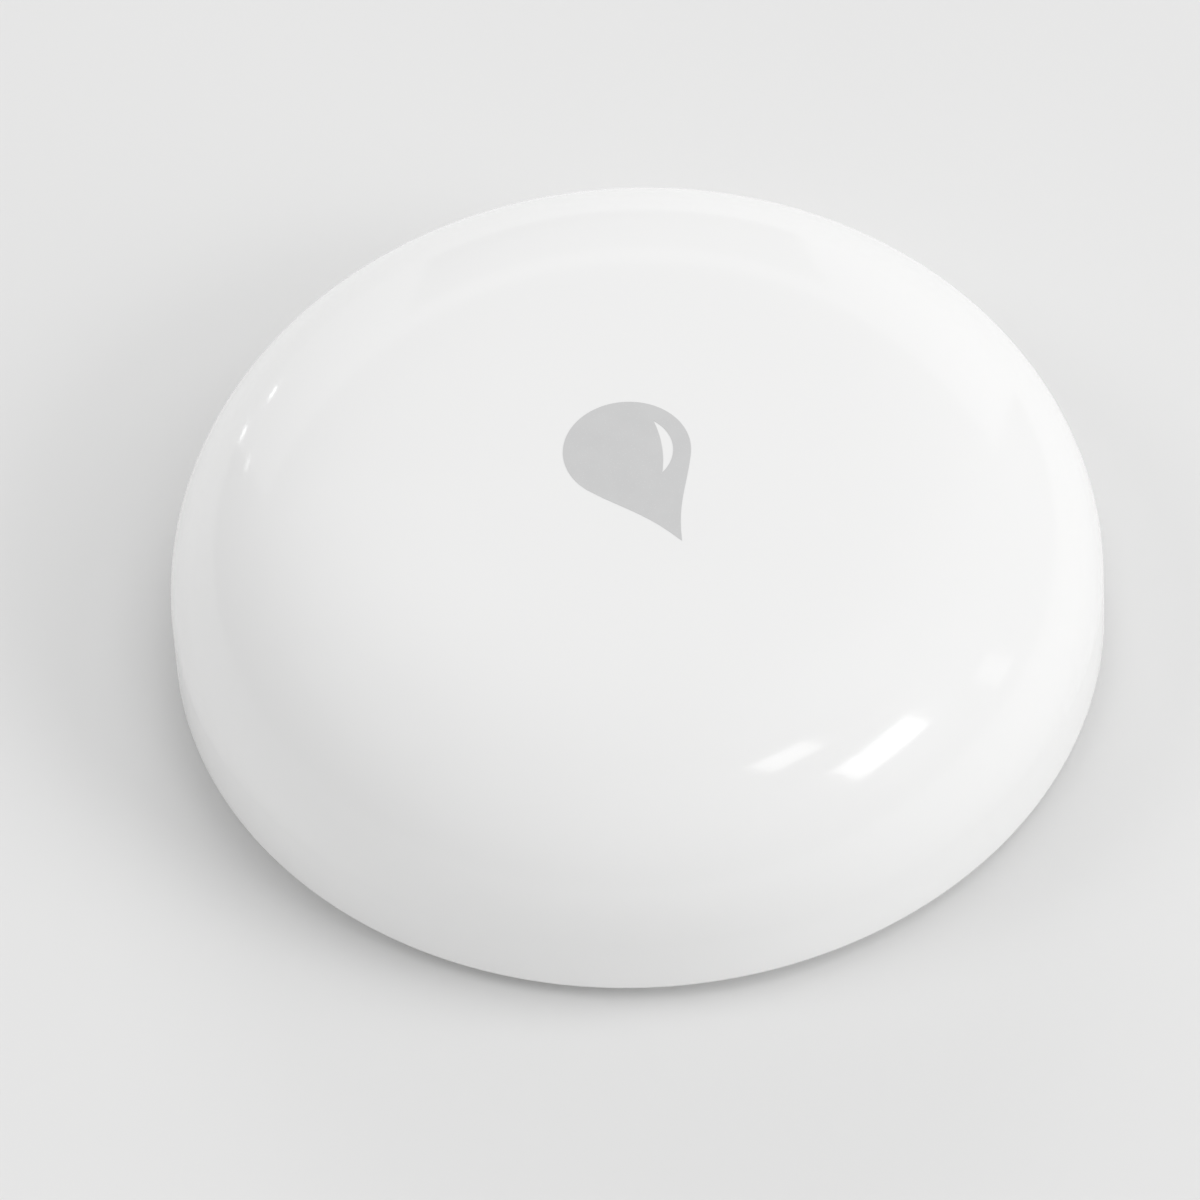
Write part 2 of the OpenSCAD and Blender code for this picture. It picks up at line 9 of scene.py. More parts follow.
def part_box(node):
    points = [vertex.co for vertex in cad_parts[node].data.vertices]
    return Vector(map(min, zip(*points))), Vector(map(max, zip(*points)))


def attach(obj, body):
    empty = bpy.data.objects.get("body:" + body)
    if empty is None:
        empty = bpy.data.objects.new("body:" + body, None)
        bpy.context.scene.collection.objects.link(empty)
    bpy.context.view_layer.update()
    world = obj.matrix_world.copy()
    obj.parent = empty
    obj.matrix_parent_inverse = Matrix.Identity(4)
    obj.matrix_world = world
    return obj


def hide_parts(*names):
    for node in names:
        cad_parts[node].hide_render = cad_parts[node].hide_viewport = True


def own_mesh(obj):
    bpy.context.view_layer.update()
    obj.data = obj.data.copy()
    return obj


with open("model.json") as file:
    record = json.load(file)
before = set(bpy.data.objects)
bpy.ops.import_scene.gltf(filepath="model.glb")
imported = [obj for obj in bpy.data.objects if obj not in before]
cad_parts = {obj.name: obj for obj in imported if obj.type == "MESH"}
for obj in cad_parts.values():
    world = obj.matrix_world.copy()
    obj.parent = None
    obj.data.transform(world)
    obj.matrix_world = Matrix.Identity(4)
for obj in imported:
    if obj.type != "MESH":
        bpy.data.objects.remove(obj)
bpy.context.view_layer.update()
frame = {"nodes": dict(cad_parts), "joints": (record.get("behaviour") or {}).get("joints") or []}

MM = 0.001
ROUND = 240  # steps round a large turned piece
SMALL_ROUND = 64  # steps round a small one
SHARP = radians(30)  # least angle of an edge that stays sharp
FULL_TURN = 2 * pi
TINY = 1e-9
MERGED = 0.0001 * MM  # points nearer than this become one

# Sizes taken from the frame
cap_low, cap_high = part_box("top_shell")
CAP_R = min(cap_high.x, cap_high.y, -cap_low.x, -cap_low.y)
TOP_Z = cap_high.z
EDGE_Z = cap_low.z
UNDERSIDE_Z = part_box("battery_door")[0].z
DOOR_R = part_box("battery_door")[1].x
BOARD_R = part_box("main_board")[1].x
probe_low, probe_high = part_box("probe_right")
PROBE_X = (probe_low.x + probe_high.x) / 2
joints = {joint["name"]: joint for joint in frame["joints"]}
DOOR_TURN = joints["door_turn"]["range_deg"][1]

# Sizes of the cap: a gentle crown whose bend swells into the shoulder
PRINT_FILM = 0.012 * MM
CROWN_Z = TOP_Z - PRINT_FILM
CROWN_R = 200 * MM
SHOULDER_R = 9.0 * MM
SWELL_START = 6.95 * MM
SWELL_LENGTH = 20 * MM
CAP_WALL = 1.6 * MM
EDGE_ROUND = 0.4 * MM
GUIDE_TOP_Z = 6.45 * MM

# Sizes of the printed drop: a round end, sides that curve in towards a slim tip, and a bare glint
DROP_R = 3.4 * MM
DROP_TIP = 6.9 * MM
DROP_WAIST = 0.06
DROP_Y = 0.3 * MM
GLINT_R = 2.45 * MM
GLINT_W = 0.58 * MM
GLINT_ANGLES = (radians(25), radians(120))

# How far a piece of the scene is sunk into the one that carries it
PRINT_SUNK = 0.01 * MM
SIGN_SUNK = 0.05 * MM


class Value:
    """A number, colour or vector in a node tree; Python's operators on numbers add Math nodes."""

    def __init__(self, finish, socket):
        self.finish = finish
        self.socket = socket

    def _math(self, operation, *values):
        return self.finish.node("ShaderNodeMath", {"operation": operation}, values)

    def __add__(self, other):
        return self._math("ADD", self, other)

    __radd__ = __add__

    def __mul__(self, other):
        return self._math("MULTIPLY", self, other)

    __rmul__ = __mul__

    def __sub__(self, other):
        return self._math("SUBTRACT", self, other)

    def __rsub__(self, other):
        return self._math("SUBTRACT", other, self)

    def __abs__(self):
        return self._math("ABSOLUTE", self)

    def __gt__(self, other):
        return self._math("GREATER_THAN", self, other)

    def __lt__(self, other):
        return self._math("LESS_THAN", self, other)

    def sine(self):
        return self._math("SINE", self)

    def root(self):
        return self._math("SQRT", self)

    def smallest(self, other):
        return self._math("MINIMUM", self, other)

    def step(self, start, end):
        """0 below start, 1 above end, and smooth between them."""
        settings = {"interpolation_type": "SMOOTHSTEP"}
        sockets = {"Value": self, "From Min": start, "From Max": end}
        return self.finish.node("ShaderNodeMapRange", settings, sockets)


class Finish:
    """One material: node() adds any node to it, and surface() fills its shader's sockets."""

    def __init__(self, name):
        self.material = bpy.data.materials.new(name)
        self.material.use_nodes = True
        self.tree = self.material.node_tree
        self.shader = self.tree.nodes["Principled BSDF"]
        self.place = self.node("ShaderNodeTexCoord", output="Object")

    def node(self, kind, settings=(), sockets=(), output=0):
        """Adds a node: its settings first, then the values or links of its sockets, by name or in order."""
        made = self.tree.nodes.new(kind)
        for name, setting in dict(settings).items():
            setattr(made, name, setting)
        pairs = sockets.items() if isinstance(sockets, dict) else enumerate(sockets)
        for key, value in pairs:
            self.fill(made.inputs[key], value)
        return Value(self, made.outputs[output])

    def fill(self, socket, value):
        """Links a socket to a value, or sets it to a constant."""
        if isinstance(value, Value):
            self.tree.links.new(value.socket, socket)
        elif isinstance(value, tuple) and len(value) == 3 and socket.type == "RGBA":
            socket.default_value = (*value, 1)
        else:
            socket.default_value = value

    def surface(self, sockets):
        """Fills the shader's sockets by name."""
        for name, value in sockets.items():
            self.fill(self.shader.inputs[name], value)
        return self.material

    def part(self, axis):
        """One coordinate of the point that is shaded, in metres."""
        return self.node("ShaderNodeSeparateXYZ", sockets=[self.place], output=axis)

    def facing(self, axis):
        """One coordinate of the surface's normal."""
        normal = self.node("ShaderNodeNewGeometry", output="True Normal")
        settings = {"vector_type": "NORMAL", "convert_from": "WORLD", "convert_to": "OBJECT"}
        own = self.node("ShaderNodeVectorTransform", settings, [normal])
        return self.node("ShaderNodeSeparateXYZ", sockets=[own], output=axis)

    def stretched(self, stretch):
        """The place, with each coordinate times its share of stretch."""
        return self.node("ShaderNodeVectorMath", {"operation": "MULTIPLY"}, [self.place, stretch])

    def grain(self, size, detail=2, stretch=None):
        """Noise from 0 to 1 whose blots are about as wide as size."""
        where = self.stretched(stretch) if stretch else self.place
        return self.node("ShaderNodeTexNoise", sockets={"Vector": where, "Scale": 1 / size, "Detail": detail})

    def specks(self, size, share):
        """1 in small round spots that lie scattered about size apart, 0 elsewhere."""
        near = self.node("ShaderNodeTexVoronoi", sockets={"Vector": self.place, "Scale": 1 / size})
        return 1 - near.step(share * 0.6, share)

    def round_about(self, x, y):
        """Distance from an upright axis at x, y."""
        across = self.part("X") - x
        along = self.part("Y") - y
        return (across * across + along * along).root()

    def blend(self, factor, first, second):
        """Colour between two others."""
        return self.node("ShaderNodeMix", {"data_type": "RGBA"}, {0: factor, 6: first, 7: second}, output=2)

    def relief(self, height, depth):
        """Normal of a surface with that relief, as deep as depth."""
        return self.node("ShaderNodeBump", sockets={"Height": height, "Distance": depth, "Strength": 1.0})


def tinted(colour, share):
    """A colour made lighter or darker by a share."""
    return tuple(min(1.0, part * share) for part in colour)


def polished_white():
    """Cap plastic from a polished mould: clear gloss, faint flow clouds and hardly any orange peel."""
    finish = Finish("cap_white")
    clouds = finish.grain(14 * MM, 3)
    peel = finish.grain(1.6 * MM, 1)
    haze = finish.grain(0.25 * MM, 2)
    return finish.surface({
        "Base Color": finish.blend(clouds, (0.85, 0.85, 0.847), (0.87, 0.87, 0.868)),
        "Roughness": 0.09 + 0.04 * clouds + 0.03 * haze,
        "IOR": 1.5,
        "Coat Weight": 0.25,
        "Coat Roughness": 0.04,
        "Normal": finish.relief(peel, 0.004 * MM),
    })


def printed_grey():
    """Grey ink that a pad printed on the cap: a little duller than the cap, with fine pores."""
    finish = Finish("mark_grey")
    body = finish.grain(1.2 * MM, 3)
    pores = finish.specks(0.16 * MM, 0.22)
    shade = finish.blend(body, (0.575, 0.576, 0.578), (0.615, 0.616, 0.617))
    return finish.surface({
        "Base Color": finish.blend(0.35 * pores, shade, (0.72, 0.72, 0.72)),
        "Roughness": 0.30 + 0.12 * body,
        "Normal": finish.relief(pores, 0.002 * MM),
    })


def etched_white(name, colour):
    """Case plastic from a mould with a fine etched grain, rubbed smoother where it is handled."""
    finish = Finish(name)
    grain = finish.grain(0.14 * MM, 4)
    clouds = finish.grain(7 * MM, 2)
    rubbed = finish.grain(3.5 * MM, 4).step(0.55, 0.75)
    return finish.surface({
        "Base Color": finish.blend(0.6 * clouds + 0.25 * grain, tinted(colour, 0.95), tinted(colour, 1.02)),
        "Roughness": 0.58 - 0.12 * rubbed + 0.08 * grain,
        "Normal": finish.relief(grain, 0.02 * MM),
    })


def seal_rubber(name, colour):
    """Moulded rubber with a dull bloom."""
    finish = Finish(name)
    bloom = finish.grain(1.1 * MM, 4)
    skin = finish.grain(0.09 * MM, 2)
    return finish.surface({
        "Base Color": finish.blend(bloom.step(0.45, 0.75), colour, tinted(colour, 2.2)),
        "Roughness": 0.5 + 0.2 * bloom,
        "Normal": finish.relief(skin, 0.006 * MM),
    })


def turned_metal(name, colour, axis_x):
    """Plated metal from a lathe: rings about each stud's axis, dulled in blots where it has met water."""
    finish = Finish(name)
    across = abs(finish.part("X")) - axis_x
    along = finish.part("Y")
    radius = (across * across + along * along).root()
    rings = (radius * (2 * pi / (0.09 * MM))).sine()
    dull = finish.grain(0.8 * MM, 5).step(0.5, 0.72)
    return finish.surface({
        "Base Color": finish.blend(dull, colour, tinted(colour, 0.72)),
        "Metallic": 1.0,
        "Roughness": 0.2 + 0.18 * dull + 0.03 * rings,
        "Normal": finish.relief(rings + 2 * finish.grain(0.3 * MM, 3), 0.0012 * MM),
    })


def drawn_steel(name, colour):
    """Bright steel cup, spun in its tool: rings about the middle and a few crossing scratches."""
    finish = Finish(name)
    rings = finish.node("ShaderNodeTexNoise", {"noise_dimensions": "1D"},
                        {"W": finish.round_about(0, 0), "Scale": 1 / (0.12 * MM), "Detail": 3})
    scratches = finish.grain(0.25 * MM, 2, (1, 0.04, 1)).step(0.66, 0.7)
    clouds = finish.grain(4 * MM, 2)
    return finish.surface({
        "Base Color": finish.blend(clouds, tinted(colour, 0.9), colour),
        "Metallic": 1.0,
        "Roughness": 0.22 + 0.12 * rings + 0.1 * scratches,
        "Normal": finish.relief(rings - scratches, 0.0015 * MM),
    })


def plated_sheet(name, colour):
    """Rolled and plated sheet: fine lines along the roll, slight tarnish."""
    finish = Finish(name)
    lines = finish.grain(0.05 * MM, 2, (0.03, 1, 1))
    tarnish = finish.grain(1.4 * MM, 4).step(0.45, 0.8)
    return finish.surface({
        "Base Color": finish.blend(tarnish, colour, tinted(colour, 0.78)),
        "Metallic": 1.0,
        "Roughness": 0.2 + 0.1 * lines + 0.12 * tarnish,
        "Normal": finish.relief(lines, 0.002 * MM),
    })


def moulded_black(name, colour):
    """Black plastic or epoxy from an eroded mould, greyed a little by dust."""
    finish = Finish(name)
    grain = finish.grain(0.11 * MM, 4)
    dust = finish.grain(1.6 * MM, 5).step(0.5, 0.8)
    return finish.surface({
        "Base Color": finish.blend(0.5 * dust + 0.2 * grain, colour, tinted(colour, 2.6)),
        "Roughness": 0.5 + 0.15 * grain + 0.1 * dust,
        "Normal": finish.relief(grain, 0.012 * MM),
    })


def solder_mask():
    """Circuit board: green mask over copper tracks on both faces, and bare laminate on the sawn edge."""
    finish = Finish("board_green")
    x = finish.part("X")
    y = finish.part("Y")
    pitch = 1.27 * MM
    lane = finish.node("ShaderNodeMath", {"operation": "PINGPONG"}, [x + 0.35 * y, pitch / 2])
    cross = finish.node("ShaderNodeMath", {"operation": "PINGPONG"}, [y - 0.2 * x, pitch])
    fields = finish.grain(6 * MM, 0).step(0.48, 0.5)
    tracks = (lane < 0.16 * MM) * fields + (cross < 0.2 * MM) * (1 - fields)
    rim = finish.round_about(0, 0).step(BOARD_R - 0.9 * MM, BOARD_R - 0.8 * MM)
    copper = tracks.smallest(1.0) * (1 - rim)
    face = abs(finish.facing("Z")) > 0.5
    weave = finish.grain(0.2 * MM, 1, (1, 0.2, 1))
    mask = finish.blend(copper, (0.012, 0.085, 0.035), (0.022, 0.16, 0.062))
    laminate = finish.blend(weave, (0.42, 0.36, 0.2), (0.55, 0.48, 0.3))
    return finish.surface({
        "Base Color": finish.blend(face, laminate, mask),
        "Roughness": 0.62 - 0.32 * face + 0.05 * weave,
        "Normal": finish.relief(copper + 0.1 * weave, 0.02 * MM),
    })


def fired_ceramic(name, colour):
    """Fired ceramic with a fine, uneven skin."""
    finish = Finish(name)
    grain = finish.grain(0.08 * MM, 3)
    clouds = finish.grain(0.9 * MM, 2)
    return finish.surface({
        "Base Color": finish.blend(clouds, tinted(colour, 0.86), tinted(colour, 1.08)),
        "Roughness": 0.32 + 0.15 * grain,
        "Normal": finish.relief(grain, 0.006 * MM),
    })


def lamp_resin():
    """Milky resin over the lamp's die, more yellow in the middle of the lens."""
    finish = Finish("lamp_amber")
    low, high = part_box("indicator_led")
    middle = finish.round_about((low.x + high.x) / 2, (low.y + high.y) / 2)
    lens = 1 - middle.step(0.3 * MM, 0.7 * MM)
    grain = finish.grain(0.1 * MM, 2)
    return finish.surface({
        "Base Color": finish.blend(lens, (0.8, 0.79, 0.74), (0.86, 0.72, 0.3)),
        "Roughness": 0.35 - 0.2 * lens + 0.08 * grain,
        "Normal": finish.relief(grain, 0.004 * MM),
    })


def finish_mesh(name, work, material, closed=True):
    """Turns a work mesh into a piece with smooth shading across its gentle edges."""
    if closed:
        bmesh.ops.recalc_face_normals(work, faces=work.faces)
    mesh = bpy.data.meshes.new(name)
    work.to_mesh(mesh)
    work.free()
    mesh.shade_smooth()
    mesh.set_sharp_from_angle(angle=SHARP)
    mesh.materials.append(material)
    piece = bpy.data.objects.new(name, mesh)
    bpy.context.scene.collection.objects.link(piece)
    return piece


def revolve(outline, steps=ROUND, start=0.0, sweep=FULL_TURN):
    """Work mesh of an outline of (radius, height) points turned about Z; a full turn or a closed sector."""
    work = bmesh.new()
    full = sweep >= FULL_TURN - TINY
    count = steps if full else steps + 1
    rings = []
    for radius, height in outline:
        if radius < TINY:
            rings.append([work.verts.new((0, 0, height))] * count)
            continue
        angles = [start + sweep * i / steps for i in range(count)]
        rings.append([work.verts.new((radius * cos(a), radius * sin(a), height)) for a in angles])
    for near, far in zip(rings, rings[1:] + rings[:1]):
        for i in range(count if full else count - 1):
            j = (i + 1) % count
            corners = list(dict.fromkeys((near[i], near[j], far[j], far[i])))
            if len(corners) > 2:
                work.faces.new(corners)
    if not full:
        for end in (0, count - 1):
            work.faces.new([ring[end] for ring in rings])
    return work


def block(low, high):
    """Work mesh of a box between two corners."""
    work = bmesh.new()
    size = Vector(high) - Vector(low)
    place = Matrix.Translation((Vector(high) + Vector(low)) / 2) @ Matrix.Diagonal((*size, 1))
    bmesh.ops.create_cube(work, size=1, matrix=place)
    return work


def turned(work, angle):
    """The work mesh, turned about Z by an angle in degrees."""
    bmesh.ops.rotate(work, verts=work.verts, cent=(0, 0, 0), matrix=Matrix.Rotation(radians(angle), 3, "Z"))
    return work


def combine(piece, tools, operation):
    """Joins work meshes to a piece, or cuts them out of it."""
    for work in tools:
        tool = finish_mesh("tool", work, piece.data.materials[0])
        step = piece.modifiers.new("step", "BOOLEAN")
        step.operation = operation
        step.solver = "EXACT"
        step.object = tool
        depsgraph = bpy.context.evaluated_depsgraph_get()
        mesh = bpy.data.meshes.new_from_object(piece.evaluated_get(depsgraph))
        piece.modifiers.clear()
        old = piece.data
        piece.data = mesh
        bpy.data.meshes.remove(old)
        bpy.data.meshes.remove(tool.data)


def swell(share):
    """Smooth rise from 0 to 1."""
    share = min(max(share, 0.0), 1.0)
    return share ** 3 * (share * (6 * share - 15) + 10)


def cap_line():
    """Outer line of the cap from its middle to the foot of its shoulder, as (radius, height, slope)."""
    stride = 0.05 * MM
    radius, height, slope, way = 0.0, CROWN_Z, 0.0, 0.0
    line = [(radius, height, slope)]
    while slope < pi / 2:
        bend = 1 / CROWN_R + (1 / SHOULDER_R - 1 / CROWN_R) * swell((way - SWELL_START) / SWELL_LENGTH)
        slope += stride * bend
        radius += stride * cos(slope)
        height -= stride * sin(slope)
        way += stride
        line.append((radius, height, slope))
    reach = CAP_R / max(r for r, z, s in line)
    return [(r * reach, z, min(s, pi / 2)) for r, z, s in line]


CAP_LINE = cap_line()


def cap_height(radius):
    """Height of the cap's outer surface at a radius."""
    for (r0, z0, _), (r1, z1, _) in zip(CAP_LINE, CAP_LINE[1:]):
        if r0 <= radius <= r1:
            return z0 + (z1 - z0) * (radius - r0) / (r1 - r0)
    raise ValueError("radius beyond the cap")


def disc(radius, low_z, high_z):
    """Outline of an upright disc for revolve()."""
    return [(0, low_z), (radius, low_z), (radius, high_z), (0, high_z)]


def make_cap(material):
    """Moulded cap with its boss, ribs, snap hooks, key and thin lamp spot inside."""
    line_stride, edge_steps = 6, 8
    line = CAP_LINE[::line_stride]
    turns = [pi / 2 * i / edge_steps for i in range(edge_steps + 1)]
    outer = [(r, z) for r, z, s in line] + [(CAP_R, EDGE_Z + 2 * EDGE_ROUND)]
    edge = [(CAP_R - EDGE_ROUND + EDGE_ROUND * cos(a), EDGE_Z + EDGE_ROUND - EDGE_ROUND * sin(a))
            for a in turns]
    inside_r = CAP_R - CAP_WALL
    inner = [(r - CAP_WALL * sin(s), z - CAP_WALL * cos(s)) for r, z, s in line]
    inner = [(max(r, 0.0), z) for r, z in inner if z > GUIDE_TOP_Z]
    guide = [(inside_r, EDGE_Z), (inside_r, GUIDE_TOP_Z), (inner[-1][0], GUIDE_TOP_Z)]
    cap = finish_mesh("cap", revolve(outer + edge + guide + inner[::-1]), material)

    ceiling_z = TOP_Z - CAP_WALL
    root = 0.1 * MM  # how far ribs and hooks reach into what carries them
    boss_r, boss_h, boss_root = 2.2 * MM, 1 * MM, 0.6 * MM
    boss_turn = 1.3  # keeps its corners off the cap's own
    boss = revolve(disc(boss_r, ceiling_z - boss_h, ceiling_z + boss_root), SMALL_ROUND)
    added = [turned(boss, boss_turn)]

    rib_t, rib_h, rib_end, rib_count = 0.8 * MM, 0.9 * MM, 15 * MM, 6
    for i in range(rib_count):
        rib = block((boss_r - root, -rib_t / 2, ceiling_z - rib_h), (rib_end, rib_t / 2, ceiling_z))
        added.append(turned(rib, 360 / rib_count * (i + 0.5)))

    hook_z, hook_h, hook_reach, hook_angle, hook_steps = 2.2 * MM, 0.9 * MM, 0.8 * MM, 23.6, 16
    slant = hook_h / 2 / hook_reach
    hook = [(inside_r + root, hook_z + hook_h), (inside_r - hook_reach, hook_z + hook_h),
            (inside_r - hook_reach, hook_z + hook_h / 2), (inside_r + root, hook_z - root * slant)]
    for middle in (0, 120, 240):
        added.append(revolve(hook, hook_steps, radians(middle - hook_angle / 2), radians(hook_angle)))

    key_w, key_z, key_h, key_r, key_angle = 1.6 * MM, 5.4 * MM, 2 * MM, 21 * MM, 90
    key = block((key_r, -key_w / 2, key_z), (inside_r + CAP_WALL / 3, key_w / 2, key_z + key_h))
    added.append(turned(key, key_angle))
    combine(cap, added, "UNION")

    spot_r, spot_depth, spot_clear = 1.5 * MM, 0.7 * MM, 1 * MM
    lamp_low, lamp_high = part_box("indicator_led")
    lamp_at = (lamp_low + lamp_high) / 2
    spot = revolve(disc(spot_r, ceiling_z - spot_clear, ceiling_z + spot_depth), SMALL_ROUND)
    bmesh.ops.translate(spot, verts=spot.verts, vec=(lamp_at.x, lamp_at.y, 0))
    combine(cap, [spot], "DIFFERENCE")
    cap.data.shade_smooth()
    cap.data.set_sharp_from_angle(angle=SHARP)
    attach(cap, "cap")
    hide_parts("top_shell")


def drop_reach(angle):
    """Distance from the middle of the drop's round end to its outline; the tip lies at angle 0."""
    taper = acos(DROP_R / DROP_TIP)
    beyond = max(taper - abs(angle), 0.0)
    share = tan(beyond) / tan(taper)
    curved_in = 27 / 4 * share ** 2 * (1 - share)  # at most 1
    return DROP_R / cos(beyond) * (1 - DROP_WAIST * curved_in)


def glint_inside(angle):
    """Distance from the same middle to the hollow side of the bare crescent, which is a flatter arc."""
    start, end = GLINT_ANGLES
    half = (end - start) / 2
    turn = angle - start - half
    if abs(turn) >= half:
        return GLINT_R
    nearest = GLINT_R - GLINT_W
    shift = (GLINT_R ** 2 - nearest ** 2) / (2 * (nearest - GLINT_R * cos(half)))
    return sqrt((nearest + shift) ** 2 - (shift * sin(turn)) ** 2) - shift * cos(turn)


def make_mark(material):
    """Printed drop with a bare glint: a thin film of ink that follows the cap's crown."""
    steps, bands = 144, 6
    work = bmesh.new()
    spokes = []
    for i in range(steps):
        angle = FULL_TURN * i / steps - pi
        inside = glint_inside(angle)
        radii = [inside * k / bands for k in range(bands + 1)]
        radii += [GLINT_R + (drop_reach(angle) - GLINT_R) * k / bands for k in range(bands + 1)]
        spokes.append([work.verts.new((r * sin(angle), DROP_Y - r * cos(angle), 0)) for r in radii])
    inked = [k for k in range(2 * bands + 1) if k != bands]
    for near, far in zip(spokes, spokes[1:] + spokes[:1]):
        for k in inked:
            work.faces.new((near[k], near[k + 1], far[k + 1], far[k]))
    bmesh.ops.remove_doubles(work, verts=work.verts, dist=MERGED)
    made = bmesh.ops.extrude_face_region(work, geom=work.faces[:])
    lifted = {v for v in made["geom"] if isinstance(v, bmesh.types.BMVert)}
    for v in work.verts:
        v.co.z = cap_height(hypot(v.co.x, v.co.y)) + (PRINT_FILM if v in lifted else -PRINT_SUNK)
    mark = finish_mesh("drop_mark", work, material)
    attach(mark, "cap")


def make_dome(material):
    """Snap dome of the switch: a shallow steel cup, built at rest; the real one flattens as the plunger comes
    down.
    """
    sheet, arcs, steps = 0.1 * MM, 16, 96
    low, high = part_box("switch_dome")
    rise = high.z - low.z
    ball_r = (high.x ** 2 + rise ** 2) / (2 * rise)
    ball_z = high.z - ball_r
    outline = []
    for r, order in ((ball_r, 1), (ball_r - sheet, -1)):
        spread = acos((low.z - ball_z) / r)
        arc = [(r * sin(spread * i / arcs), ball_z + r * cos(spread * i / arcs)) for i in range(arcs + 1)]
        outline += arc[::order]
    dome = finish_mesh("snap_dome", revolve(outline, steps), material)
    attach(dome, "base")
    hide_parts("switch_dome")
    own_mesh(dome)


def raised(outline, height):
    """Work mesh of a sign that stands out below the underside, with sides that slope in a little."""
    bevel = 0.04 * MM
    middle = sum((Vector(point) for point in outline), Vector((0, 0))) / len(outline)
    rings = []
    work = bmesh.new()
    for z, inset in ((UNDERSIDE_Z + SIGN_SUNK, 0.0), (UNDERSIDE_Z - height, bevel)):
        ring = []
        for point in outline:
            arm = Vector(point) - middle
            flat = middle + arm * (1 - inset / arm.length)
            ring.append(work.verts.new((*flat, z)))
        work.faces.new(ring)
        rings.append(ring)
    for i in range(len(outline)):
        j = (i + 1) % len(outline)
        work.faces.new((rings[0][i], rings[0][j], rings[1][j], rings[1][i]))
    return work


def make_turn_signs(tub, door):
    """Signs for the battery door: a pointer on it, and a full and an open round for shut and open."""
    height, sign_r, ring_w, steps = 0.14 * MM, 0.75 * MM, 0.28 * MM, 48
    sign_at, shut_angle = DOOR_R + 1.7 * MM, -67.5
    tip_r, pointer_l, pointer_w = DOOR_R - 0.9 * MM, 1.5 * MM, 1.7 * MM
    pointer = [(tip_r, 0), (tip_r - pointer_l, pointer_w / 2), (tip_r - pointer_l, -pointer_w / 2)]
    low_z, high_z = UNDERSIDE_Z - height, UNDERSIDE_Z + SIGN_SUNK
    bevel = height / 3
    outside = [(sign_r, high_z), (sign_r, low_z + bevel), (sign_r - bevel, low_z)]
    full = [(0, high_z)] + outside + [(0, low_z)]
    hole_r = sign_r - ring_w
    opened = [(hole_r, high_z)] + outside + [(hole_r + bevel, low_z), (hole_r, low_z + bevel)]
    shut_work, open_work = revolve(full, steps), revolve(opened, steps)
    for work in (shut_work, open_work):
        bmesh.ops.translate(work, verts=work.verts, vec=(sign_at, 0, 0))
    for name, work, angle, body, slot, material in (
            ("turn_pointer", raised(pointer, height), shut_angle, "door", "door_white", door),
            ("shut_sign", shut_work, shut_angle, "base", "tub_white", tub),
            ("open_sign", open_work, shut_angle - DOOR_TURN, "base", "tub_white", tub)):
        sign = finish_mesh(name, turned(work, angle), material)
        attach(sign, body)


WHITE = (0.78, 0.78, 0.77)
DOOR_WHITE = (0.76, 0.76, 0.75)
BLACK = (0.016, 0.016, 0.018)
GOLD = (0.83, 0.62, 0.3)
BRASS = (0.75, 0.58, 0.28)
NICKEL = (0.66, 0.645, 0.61)
STEEL = (0.62, 0.625, 0.63)

tub_plastic = etched_white("tub_white", WHITE)
door_plastic = etched_white("door_white", DOOR_WHITE)
rubber = seal_rubber("seal_black", (0.014, 0.014, 0.015))
bright_steel = drawn_steel("cell_steel", STEEL)
stamped_steel = plated_sheet("switch_steel", STEEL)
nickel_sheet = plated_sheet("contact_nickel", NICKEL)
gold_stud = turned_metal("probe_gold", GOLD, PROBE_X)
switch_plastic = moulded_black("switch_black", BLACK)
chip_epoxy = moulded_black("chip_black", BLACK)

DRESS = {
    "base_shell": tub_plastic,
    "case_o_ring": rubber,
    "battery_door": door_plastic,
    "door_o_ring": rubber,
    "probe_left": gold_stud,
    "probe_right": gold_stud,
    "probe_o_rings": rubber,
    "probe_nuts": turned_metal("nut_brass", BRASS, PROBE_X),
    "probe_springs": plated_sheet("spring_gold", GOLD),
    "battery_can": bright_steel,
    "battery_lid": bright_steel,
    "battery_gasket": seal_rubber("gasket_black", (0.03, 0.03, 0.032)),
    "battery_holder": moulded_black("holder_black", BLACK),
    "plus_contact": nickel_sheet,
    "minus_contact": nickel_sheet,
    "main_board": solder_mask(),
    "board_screws": plated_sheet("screw_steel", STEEL),
    "switch_body": switch_plastic,
    "switch_cover": stamped_steel,
    "switch_legs": stamped_steel,
    "switch_plunger": switch_plastic,
    "radio_chip": chip_epoxy,
    "memory_chip": chip_epoxy,
    "crystal": drawn_steel("crystal_steel", STEEL),
    "chip_antenna": fired_ceramic("antenna_cream", (0.72, 0.68, 0.56)),
    "indicator_led": lamp_resin(),
    "capacitors": fired_ceramic("capacitor_tan", (0.4, 0.26, 0.13)),
    "resistors": moulded_black("resistor_black", BLACK),
}
for name, material in DRESS.items():
    for place in frame["nodes"][name].material_slots:
        place.material = material

make_cap(polished_white())
make_mark(printed_grey())
make_dome(stamped_steel)
make_turn_signs(tub_plastic, door_plastic)


# Camera, in the photograph's place
SIGHT_AZIMUTH = radians(-22)
SIGHT_ELEVATION = radians(50.3)
SIGHT_ROLL = radians(-3.6)
SIGHT_DISTANCE = 0.7
PICTURE = 1200
PIXELS_PER_METRE = 18.67 / MM
AIM_POINT = Vector((0, 0, 5 * MM))
AIM_PIXEL = (636.5, 574.6)
SENSOR = 36
NEAREST_SEEN = 0.01

